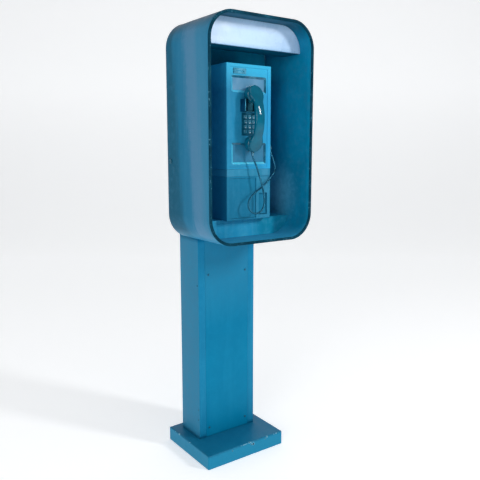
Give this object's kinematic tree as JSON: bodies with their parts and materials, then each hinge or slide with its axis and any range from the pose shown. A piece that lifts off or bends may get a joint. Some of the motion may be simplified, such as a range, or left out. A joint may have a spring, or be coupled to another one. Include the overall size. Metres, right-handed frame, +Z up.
{
  "type": "pedestal telephone booth",
  "caption": "Payphone with a hung handset in a rounded open-front hood, on a boxed column and a rectangular plinth.",
  "frame": {"origin": "on the ground, under the middle of the booth's outline", "axes": "+Z up, front faces -Y, +X to the right of a person facing the front"},
  "size_m": [0.4436, 0.3872, 1.5895],
  "materials": {
    "teal_paint": "semi-gloss paint, weathered",
    "dark_teal_paint": "satin paint",
    "trim_rubber": "matte",
    "pale_panel": "opal sheet, specked with dirt",
    "phone_blue": "satin paint",
    "card": "blank card under a clear sheet",
    "dark_plastic": "polished",
    "steel": "satin"
  },
  "bodies": {
    "root": {"base_plinth": "teal_paint", "column_body": "teal_paint", "column_front_cover": "teal_paint", "column_top_plate": "teal_paint", "rear_upright": "teal_paint", "upright_cap": "teal_paint", "hood_shell": "teal_paint", "shelf_front_panel": "teal_paint", "shelf_top": "teal_paint", "hood_back_panel": "dark_teal_paint", "light_box_soffit": "dark_teal_paint", "light_box_back": "dark_teal_paint", "phone_mounting_box": "dark_teal_paint", "keypad_bezel": "dark_teal_paint", "hood_rim_trim": "trim_rubber", "sign_panel": "pale_panel", "lower_housing": "phone_blue", "vault_door": "phone_blue", "coin_return_bezel": "phone_blue", "belt_strip": "phone_blue", "upper_housing": "phone_blue", "faceplate": "phone_blue", "upper_card": "card", "lower_card": "card", "hook_cradle": "dark_plastic", "side_lock_left": "steel", "side_lock_right": "steel", "coin_entry_plate": "steel", "cord_gland": "steel", "handset_cord": "steel"},
    "handset": {"handset_handle": "dark_plastic", "earpiece_cap": "dark_plastic", "mouthpiece_cap": "dark_plastic", "handset_ferrule": "steel"},
    "return_flap": {"coin_return_flap": "dark_plastic"},
    "key_1": {"key_1": "steel"},
    "key_2": {"key_2": "steel"},
    "key_3": {"key_3": "steel"},
    "key_4": {"key_4": "steel"},
    "key_5": {"key_5": "steel"},
    "key_6": {"key_6": "steel"},
    "key_7": {"key_7": "steel"},
    "key_8": {"key_8": "steel"},
    "key_9": {"key_9": "steel"},
    "key_star": {"key_star": "steel"},
    "key_0": {"key_0": "steel"},
    "key_hash": {"key_hash": "steel"}
  },
  "joints": [
    {"name": "handset_lift", "type": "slide", "parent": "root", "child": "handset", "axis": [0, -0.7071, 0.7071], "range_m": [0, 0.05]},
    {"name": "return_flap_swing", "type": "hinge", "parent": "root", "child": "return_flap", "pos_m": [0.062, -0.1016, 0.9983], "axis": [1, 0, 0], "range_deg": [0, 55]},
    {"name": "key_1_press", "type": "slide", "parent": "root", "child": "key_1", "axis": [0, 1, 0], "range_m": [0, 0.0018], "stiffness_N_per_m": 400, "springref_m": -0.001},
    {"name": "key_2_press", "type": "slide", "parent": "root", "child": "key_2", "axis": [0, 1, 0], "range_m": [0, 0.0018], "stiffness_N_per_m": 400, "springref_m": -0.001},
    {"name": "key_3_press", "type": "slide", "parent": "root", "child": "key_3", "axis": [0, 1, 0], "range_m": [0, 0.0018], "stiffness_N_per_m": 400, "springref_m": -0.001},
    {"name": "key_4_press", "type": "slide", "parent": "root", "child": "key_4", "axis": [0, 1, 0], "range_m": [0, 0.0018], "stiffness_N_per_m": 400, "springref_m": -0.001},
    {"name": "key_5_press", "type": "slide", "parent": "root", "child": "key_5", "axis": [0, 1, 0], "range_m": [0, 0.0018], "stiffness_N_per_m": 400, "springref_m": -0.001},
    {"name": "key_6_press", "type": "slide", "parent": "root", "child": "key_6", "axis": [0, 1, 0], "range_m": [0, 0.0018], "stiffness_N_per_m": 400, "springref_m": -0.001},
    {"name": "key_7_press", "type": "slide", "parent": "root", "child": "key_7", "axis": [0, 1, 0], "range_m": [0, 0.0018], "stiffness_N_per_m": 400, "springref_m": -0.001},
    {"name": "key_8_press", "type": "slide", "parent": "root", "child": "key_8", "axis": [0, 1, 0], "range_m": [0, 0.0018], "stiffness_N_per_m": 400, "springref_m": -0.001},
    {"name": "key_9_press", "type": "slide", "parent": "root", "child": "key_9", "axis": [0, 1, 0], "range_m": [0, 0.0018], "stiffness_N_per_m": 400, "springref_m": -0.001},
    {"name": "key_star_press", "type": "slide", "parent": "root", "child": "key_star", "axis": [0, 1, 0], "range_m": [0, 0.0018], "stiffness_N_per_m": 400, "springref_m": -0.001},
    {"name": "key_0_press", "type": "slide", "parent": "root", "child": "key_0", "axis": [0, 1, 0], "range_m": [0, 0.0018], "stiffness_N_per_m": 400, "springref_m": -0.001},
    {"name": "key_hash_press", "type": "slide", "parent": "root", "child": "key_hash", "axis": [0, 1, 0], "range_m": [0, 0.0018], "stiffness_N_per_m": 400, "springref_m": -0.001}
  ]
}
